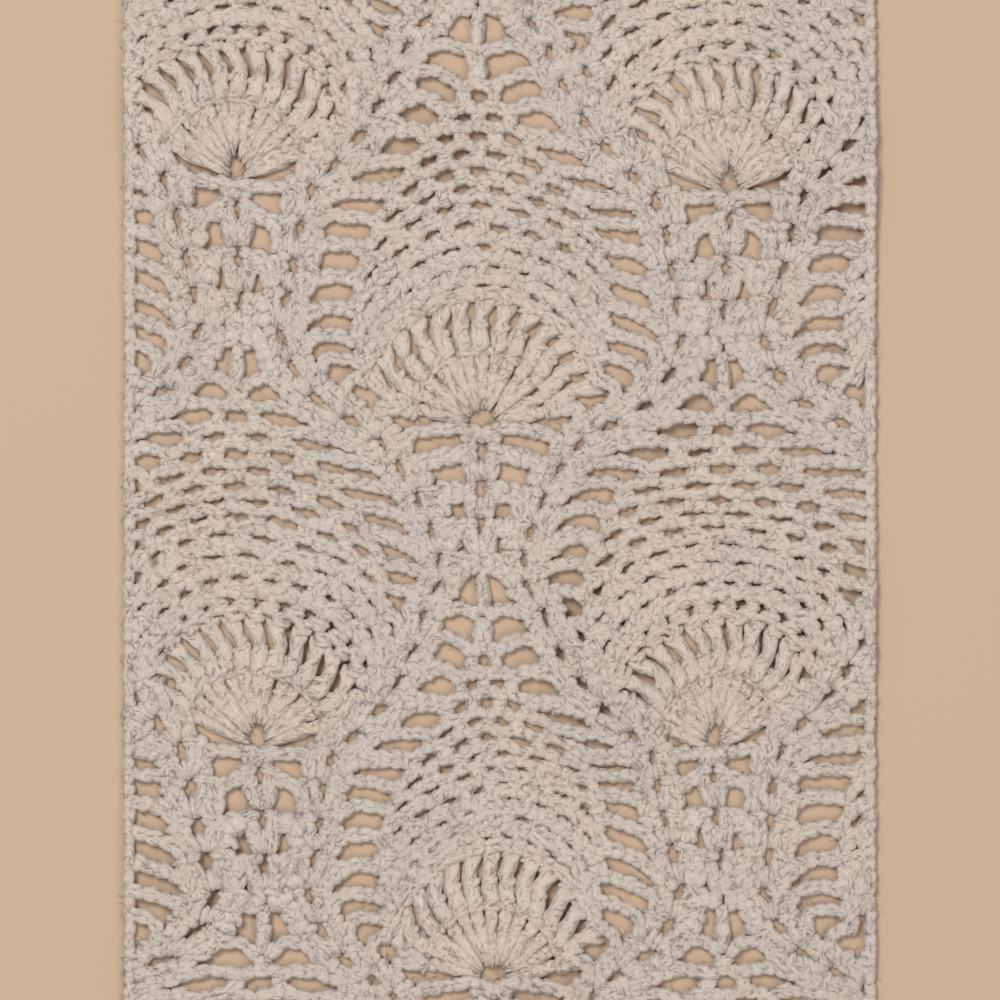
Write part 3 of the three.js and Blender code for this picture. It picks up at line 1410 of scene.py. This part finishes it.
        mesh.loops.foreach_set("vertex_index", corner.astype(np.int32))
        mesh.polygons.add(len(size))
        starts = np.concatenate([[0], np.cumsum(size)[:-1]])
        mesh.polygons.foreach_set("loop_start", starts.astype(np.int32))
        mesh.polygons.foreach_set("use_smooth", np.ones(len(size), bool))
        mesh.update(calc_edges=True)
        bake = mesh.uv_layers.new(name="OFBake")
        bake.data.foreach_set("uv", np.concatenate(maps).astype(np.float32).reshape(-1))
        length = mesh.uv_layers.new(name="YarnRun")
        length.data.foreach_set("uv", np.concatenate(runs).astype(np.float32).reshape(-1))
        tone = mesh.attributes.new("warmth", "FLOAT", "POINT")
        tone.data.foreach_set("value", np.concatenate(warmth).astype(np.float32))
        mesh.validate(clean_customdata=False)
        made = bpy.data.objects.new(name, mesh)
        bpy.context.scene.collection.objects.link(made)
        triangles = int((size - 2).sum())
        LOG.info("%s: %d lengths of yarn, %d triangles", name, total, triangles)
        return made


@dataclass
class FibreBody(YarnBody):
    """Turns loose fibres into one mesh: each is a fine spindle that is bent at its middle."""

    sides: int = 3
    end: float = 0.0

    def straight(self, rings: int) -> bmesh.types.BMesh:
        """Make a straight closed spindle with few sides.

        Args:
            rings: how many rings of points it has, with its two ends counted.

        Returns:
            The spindle, two units long.
        """
        shape = bmesh.new()
        bmesh.ops.create_uvsphere(shape, u_segments=self.sides, v_segments=rings - 1, radius=1.0)
        return shape


@dataclass
class LooseFibres:
    """The short fibres that stand out of the yarn and make it soft, over all its upper side."""

    strands: list[LaidStrands]
    body: FibreBody
    count: int = 24000
    half: float = 0.11
    shortest: float = 1.6
    longest: float = 4.6
    widest_yarn: float = 2.0
    stray: float = 0.75
    seed: int = 31

    def build(self, name: str) -> bpy.types.Object:
        """Make one object of loose fibres.

        Args:
            name: the piece's name.

        Returns:
            The new object, linked to the scene.
        """
        chance = np.random.default_rng(self.seed)
        fine = [found for found in self.strands if found.wide.mean() < self.widest_yarn]
        lengths = [np.linalg.norm(np.diff(f.lines, axis=1), axis=2).sum(axis=1) for f in fine]
        whole = sum(float(each.sum()) for each in lengths)
        grown = []
        for found, each in zip(fine, lengths):
            number = round(self.count * float(each.sum()) / whole)
            chosen = chance.choice(len(each), number, p=each / each.sum())
            grown.append(self.grow(found, chosen, chance))
        fibres = LaidStrands(
            np.concatenate([g.lines for g in grown]),
            np.concatenate([g.wide for g in grown]),
            np.concatenate([g.deep for g in grown]),
            np.concatenate([g.warmth for g in grown]),
        )
        return self.body.joined(name, [self.body.tubes(fibres, chance)])

    def grow(
        self, found: LaidStrands, chosen: np.ndarray, chance: np.random.Generator
    ) -> LaidStrands:
        """Let a fibre stand out of each chosen strand, from a place on its upper side.

        Args:
            found: the strands.
            chosen: the number of the strand of each fibre.
            chance: the seeded unevenness.

        Returns:
            The fibres, as lines of three points.
        """
        number, last = len(chosen), found.lines.shape[1] - 1
        ring = chance.integers(0, last, number)
        share = chance.random((number, 1))
        low, high = found.lines[chosen, ring], found.lines[chosen, ring + 1]
        way = (high - low) / np.linalg.norm(high - low, axis=1, keepdims=True)
        left = np.stack([-way[:, 1], way[:, 0], np.zeros(number)], axis=1)
        left /= np.maximum(np.linalg.norm(left, axis=1, keepdims=True), 1e-6)
        up = np.cross(way, left)
        turn = chance.uniform(0.12, math.pi - 0.12, (number, 1))
        out = left * np.cos(turn) + up * np.sin(turn)
        wide = found.wide[chosen, ring][:, None]
        deep = found.deep[chosen, ring][:, None]
        root = low + (high - low) * share
        root = root + (left * np.cos(turn) * wide + up * np.sin(turn) * deep) * 0.88
        heading = way * np.where(chance.random((number, 1)) < 0.5, -1.0, 1.0)
        across = np.cross(out, heading)
        angle = chance.normal(0.0, self.stray, (number, 1))
        heading = heading * np.cos(angle) + across * np.sin(angle)
        length = chance.uniform(self.shortest, self.longest, (number, 1))
        bend = chance.normal(0.0, 0.14, (number, 1)) * length
        middle = root + heading * length * 0.5 + across * bend + out * (0.1 + 0.09 * length)
        tip = root + heading * length + across * bend * 0.4
        tip = tip + out * chance.uniform(-0.05, 0.16, (number, 1)) * length
        half = self.half * chance.uniform(0.7, 1.3, (number, 1)) * np.array([0.0, 1.0, 0.0])
        lines = np.stack([root, middle, tip], axis=1)
        lines[..., 2] = np.maximum(lines[..., 2], 0.1)
        return LaidStrands(lines, half, half, found.warmth[chosen] + chance.normal(0, 0.2, number))


def add_node(
    tree: bpy.types.NodeTree,
    kind: str,
    settings: dict[str, object] | None = None,
    inputs: dict[str | int, object] | None = None,
) -> bpy.types.Node:
    """Add a node, set it and link it.

    Args:
        tree: the material's node tree.
        kind: the node's type.
        settings: properties of the node.
        inputs: a value for each socket, or the socket of another node to link to it.

    Returns:
        The new node.
    """
    node = tree.nodes.new(kind)
    for name, value in (settings or {}).items():
        setattr(node, name, value)
    for name, value in (inputs or {}).items():
        if isinstance(value, bpy.types.NodeSocket):
            tree.links.new(value, node.inputs[name])
        else:
            node.inputs[name].default_value = value
    return node


def arithmetic(
    tree: bpy.types.NodeTree, operation: str, *values: object, clamped: bool = False
) -> bpy.types.NodeSocket:
    """Work out one number from others, and give the socket that holds it."""
    settings = {"operation": operation, "use_clamp": clamped}
    return add_node(tree, "ShaderNodeMath", settings, dict(enumerate(values))).outputs[0]


def mixed(
    tree: bpy.types.NodeTree, share: bpy.types.NodeSocket, first: object, second: object
) -> bpy.types.NodeSocket:
    """Mix two colours, and give the socket that holds the result."""
    inputs = {0: share, 6: first, 7: second}
    return add_node(tree, "ShaderNodeMix", {"data_type": "RGBA"}, inputs).outputs[2]


def noise(
    tree: bpy.types.NodeTree,
    vector: bpy.types.NodeSocket,
    scale: float,
    detail: float,
    roughness: float = 0.5,
) -> bpy.types.NodeSocket:
    """Add soft noise, and give the socket that holds it."""
    inputs = {"Vector": vector, "Scale": scale, "Detail": detail, "Roughness": roughness}
    return add_node(tree, "ShaderNodeTexNoise", inputs=inputs).outputs["Fac"]


def fading(
    tree: bpy.types.NodeTree,
    value: bpy.types.NodeSocket,
    low: float,
    high: float,
    most: float,
) -> bpy.types.NodeSocket:
    """Fade from the most to nothing as a value goes from low to high."""
    inputs = {0: value, 1: low, 2: high, 3: most, 4: 0.0}
    return add_node(tree, "ShaderNodeMapRange", inputs=inputs).outputs[0]


@dataclass(frozen=True)
class YarnFinish:
    """Soft worsted yarn, spun and plied, washed until its fibres felt a little.

    To the eye it is matt and slightly furry: cream with cool grey and warm patches, fine streaks
    of fibre along each strand, and no gloss anywhere.
    """

    name: str = "spun_worsted_yarn"
    cool: str = "DCD0C6"
    warm: str = "E6D3C0"
    shade: str = "B5A598"
    patch_size: float = 45.0
    fleck_size: float = 1.5
    drift_size: float = 9.0
    fibre: float = 0.7
    fibre_length: float = 4.0
    fibres_round: float = 12.0
    dull: float = 0.38
    flecks: float = 0.3
    roughness: float = 0.95

    def make(self) -> bpy.types.Material:
        """Build the material from nodes.

        Returns:
            The material.
        """
        made = bpy.data.materials.new(self.name)
        made.use_nodes = True
        tree = made.node_tree
        tree.nodes.clear()
        place = add_node(tree, "ShaderNodeTexCoord").outputs["Object"]
        warmth = add_node(tree, "ShaderNodeAttribute", {"attribute_name": "warmth"}).outputs["Fac"]
        run = add_node(tree, "ShaderNodeUVMap", {"uv_map": "YarnRun"}).outputs[0]
        patches = noise(tree, place, 1 / (self.patch_size * MM), 2.0)
        lean = arithmetic(tree, "MULTIPLY_ADD", patches, 1.3, -0.65)
        tint = arithmetic(tree, "ADD", warmth, lean, clamped=True)
        cream = mixed(tree, tint, colour(self.cool), colour(self.warm))
        furry = noise(tree, place, 1 / (self.fleck_size * MM), 3.0, 0.75)
        drift = add_node(
            tree,
            "ShaderNodeVectorMath",
            {"operation": "SCALE"},
            {0: place, "Scale": 1 / (self.drift_size * MM)},
        ).outputs[0]
        stretch = (1 / (self.fibre_length * MM), self.fibres_round, 0.0)
        combed = add_node(
            tree,
            "ShaderNodeVectorMath",
            {"operation": "MULTIPLY_ADD"},
            {0: run, 1: stretch, 2: drift},
        ).outputs[0]
        fibres = noise(tree, combed, 1.0, 2.0, 0.6)
        dull = fading(tree, fibres, 0.34, 0.62, self.dull)
        flecks = fading(tree, furry, 0.38, 0.58, self.flecks)
        dusk = arithmetic(tree, "ADD", dull, flecks, clamped=True)
        cloth = mixed(tree, dusk, cream, colour(self.shade))
        height = arithmetic(tree, "MULTIPLY_ADD", fibres, 0.8, furry)
        bump = add_node(
            tree,
            "ShaderNodeBump",
            inputs={"Strength": 1.0, "Distance": self.fibre * MM, "Height": height},
        )
        shader = add_node(
            tree,
            "ShaderNodeBsdfPrincipled",
            inputs={
                "Base Color": cloth,
                "Roughness": self.roughness,
                "Specular IOR Level": 0.15,
                "Sheen Weight": 0.3,
                "Sheen Roughness": 0.6,
                "Normal": bump.outputs[0],
            },
        )
        add_node(tree, "ShaderNodeOutputMaterial", inputs={"Surface": shader.outputs[0]})
        return made


@dataclass(frozen=True)
class PlainFinish:
    """Matt paint on the floor that the cloth lies on, warm and pale, without any grain."""

    name: str = "floor_matt_paint"
    tone: str = "C9AE94"
    roughness: float = 0.95

    def make(self) -> bpy.types.Material:
        """Build the material from nodes.

        Returns:
            The material.
        """
        made = bpy.data.materials.new(self.name)
        made.use_nodes = True
        shader = made.node_tree.nodes["Principled BSDF"]
        shader.inputs["Base Color"].default_value = colour(self.tone)
        shader.inputs["Roughness"].default_value = self.roughness
        return made


@dataclass
class Studio:
    """The pale floor, the soft lamps and the camera over the cloth."""

    view_width: float = 350.0
    camera_height: float = 1.5
    floor_size: float = 4.0
    sensor: float = 36.0
    cloth_middle: float = 3.0

    def build(self) -> None:
        """Make the floor, the lamps, the world and the camera."""
        self.floor()
        self.lamp("key_lamp", (-0.6, 0.7, 2.0), 0.8, 29.5)
        self.lamp("fill_lamp", (0.9, -0.8, 1.8), 1.4, 13.0)
        self.world()
        self.camera()
        bpy.context.scene.view_settings.view_transform = "Standard"

    def floor(self) -> None:
        """Lay a plain floor under the cloth."""
        shape = bmesh.new()
        bmesh.ops.create_grid(shape, x_segments=2, y_segments=2, size=self.floor_size / 2)
        mesh = bpy.data.meshes.new("studio_floor")
        shape.to_mesh(mesh)
        shape.free()
        made = bpy.data.objects.new("studio_floor", mesh)
        bpy.context.scene.collection.objects.link(made)
        made.data.materials.append(PlainFinish().make())
        made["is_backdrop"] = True

    def lamp(self, name: str, place: tuple[float, float, float], size: float, power: float) -> None:
        """Hang a soft square lamp that faces the cloth.

        Args:
            name: the lamp's name.
            place: where it hangs, in metres.
            size: its side, in metres.
            power: its power in watts.
        """
        data = bpy.data.lights.new(name, "AREA")
        data.shape = "SQUARE"
        data.size = size
        data.energy = power
        made = bpy.data.objects.new(name, data)
        made.location = place
        made.rotation_mode = "QUATERNION"
        made.rotation_quaternion = (-Vector(place)).to_track_quat("-Z", "Y")
        bpy.context.scene.collection.objects.link(made)

    def world(self) -> None:
        """Give the room a low even light."""
        world = bpy.data.worlds.new("studio_world")
        world.use_nodes = True
        back = world.node_tree.nodes["Background"]
        back.inputs["Color"].default_value = colour("F8F6F4")
        back.inputs["Strength"].default_value = 0.35
        bpy.context.scene.world = world

    def camera(self) -> None:
        """Hang the camera straight over the cloth."""
        data = bpy.data.cameras.new("top_camera")
        data.sensor_width = self.sensor
        distance = self.camera_height - self.cloth_middle * MM
        data.lens = self.sensor * distance / (self.view_width * MM)
        data.clip_start = 0.05
        data.clip_end = 20.0
        made = bpy.data.objects.new("top_camera", data)
        made.location = (0.0, 0.0, self.camera_height)
        bpy.context.scene.collection.objects.link(made)
        bpy.context.scene.camera = made


def corners() -> list[list[float]]:
    """The lowest and highest corner of what is shown, as plain numbers."""
    return [[float(value) for value in corner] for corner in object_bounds()]


def main() -> None:
    """Work the blanket, dress it and light it."""
    logging.basicConfig(level=logging.INFO, format="%(name)s: %(message)s")
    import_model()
    chart = LaceChart()
    body = YarnBody(chart)
    fans = PineappleFans(chart, StitchMaker(seed=11))
    net = PineappleNet(chart, StitchMaker(seed=12), StitchMaker(seed=13), fans)
    net.work()
    left = SideShells(chart, StitchMaker(seed=14), ((-2, 1), (0, -1)))
    right = SideShells(chart, StitchMaker(seed=15), ((0, 1), (2, -1)))
    left_bands = ((-2, 1), (-1, -1), (-1, 1), (0, -1))
    right_bands = ((0, 1), (1, -1), (1, 1), (2, -1))
    left_chains = JoiningChains(chart, StitchMaker(seed=17), net, left_bands)
    right_chains = JoiningChains(chart, StitchMaker(seed=19), net, right_bands)
    pieces = [
        body.build("pineapple_fans", fans.work()),
        body.build("net_loops", net.loops.strands),
        body.build("net_posts", net.posts.strands),
        body.build("side_shells_left", left.work()),
        body.build("side_shells_right", right.work()),
        body.build("centre_shells", CentreShells(chart, StitchMaker(seed=16)).work()),
        body.build("joining_chains_left", left_chains.work()),
        body.build("joining_chains_right", right_chains.work()),
        body.build("edging", Edging(chart, StitchMaker(seed=18)).work(), clipped=False),
        LooseFibres(body.down, FibreBody(chart), seed=31).build("loose_fibres_a"),
        LooseFibres(body.down, FibreBody(chart), seed=32).build("loose_fibres_b"),
    ]
    yarn = YarnFinish().make()
    for piece in pieces:
        piece.data.materials.append(yarn)
        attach(piece, "root")
        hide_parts("crochet_cloth")
    Studio().build()


if __name__ == "__main__":
    main()
